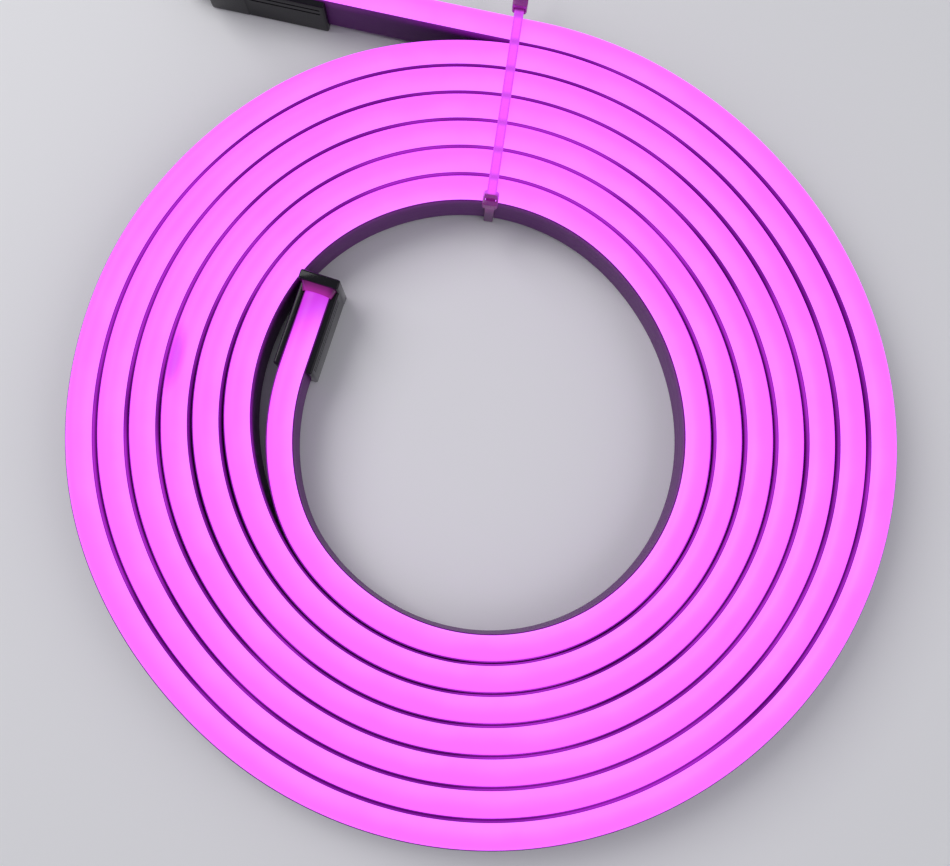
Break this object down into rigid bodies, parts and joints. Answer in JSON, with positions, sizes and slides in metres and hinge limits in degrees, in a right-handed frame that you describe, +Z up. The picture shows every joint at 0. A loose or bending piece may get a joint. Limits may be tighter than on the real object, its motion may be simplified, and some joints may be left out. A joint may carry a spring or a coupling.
{
  "type": "led neon flex",
  "caption": "Length of narrow, tall-sided LED neon flex wound flat into a roll, lit dome upwards, with a moulded fitting on each end and cable ties round the turns.",
  "frame": {"origin": "middle of the part's box in plan, on the floor that the roll lies on", "axes": "+Z up, out of the lit face; +Y from the middle of the roll towards the cable ties and the fed end; +X to the right of that, seen from above"},
  "size_m": [0.3044, 0.335, 0.0276],
  "materials": {
    "lit_flex": "satin milky PVC, the domed face lit magenta pink",
    "black_plastic": "glossy black moulding",
    "natural_nylon": "natural translucent nylon, fine moulded teeth"
  },
  "bodies": {
    "root": {"neon_flex": "lit_flex", "end_cap": "black_plastic", "feed_connector": "black_plastic", "lead_gland": "black_plastic", "cable_tie_top": "natural_nylon", "cable_tie_under": "natural_nylon"}
  },
  "joints": []
}
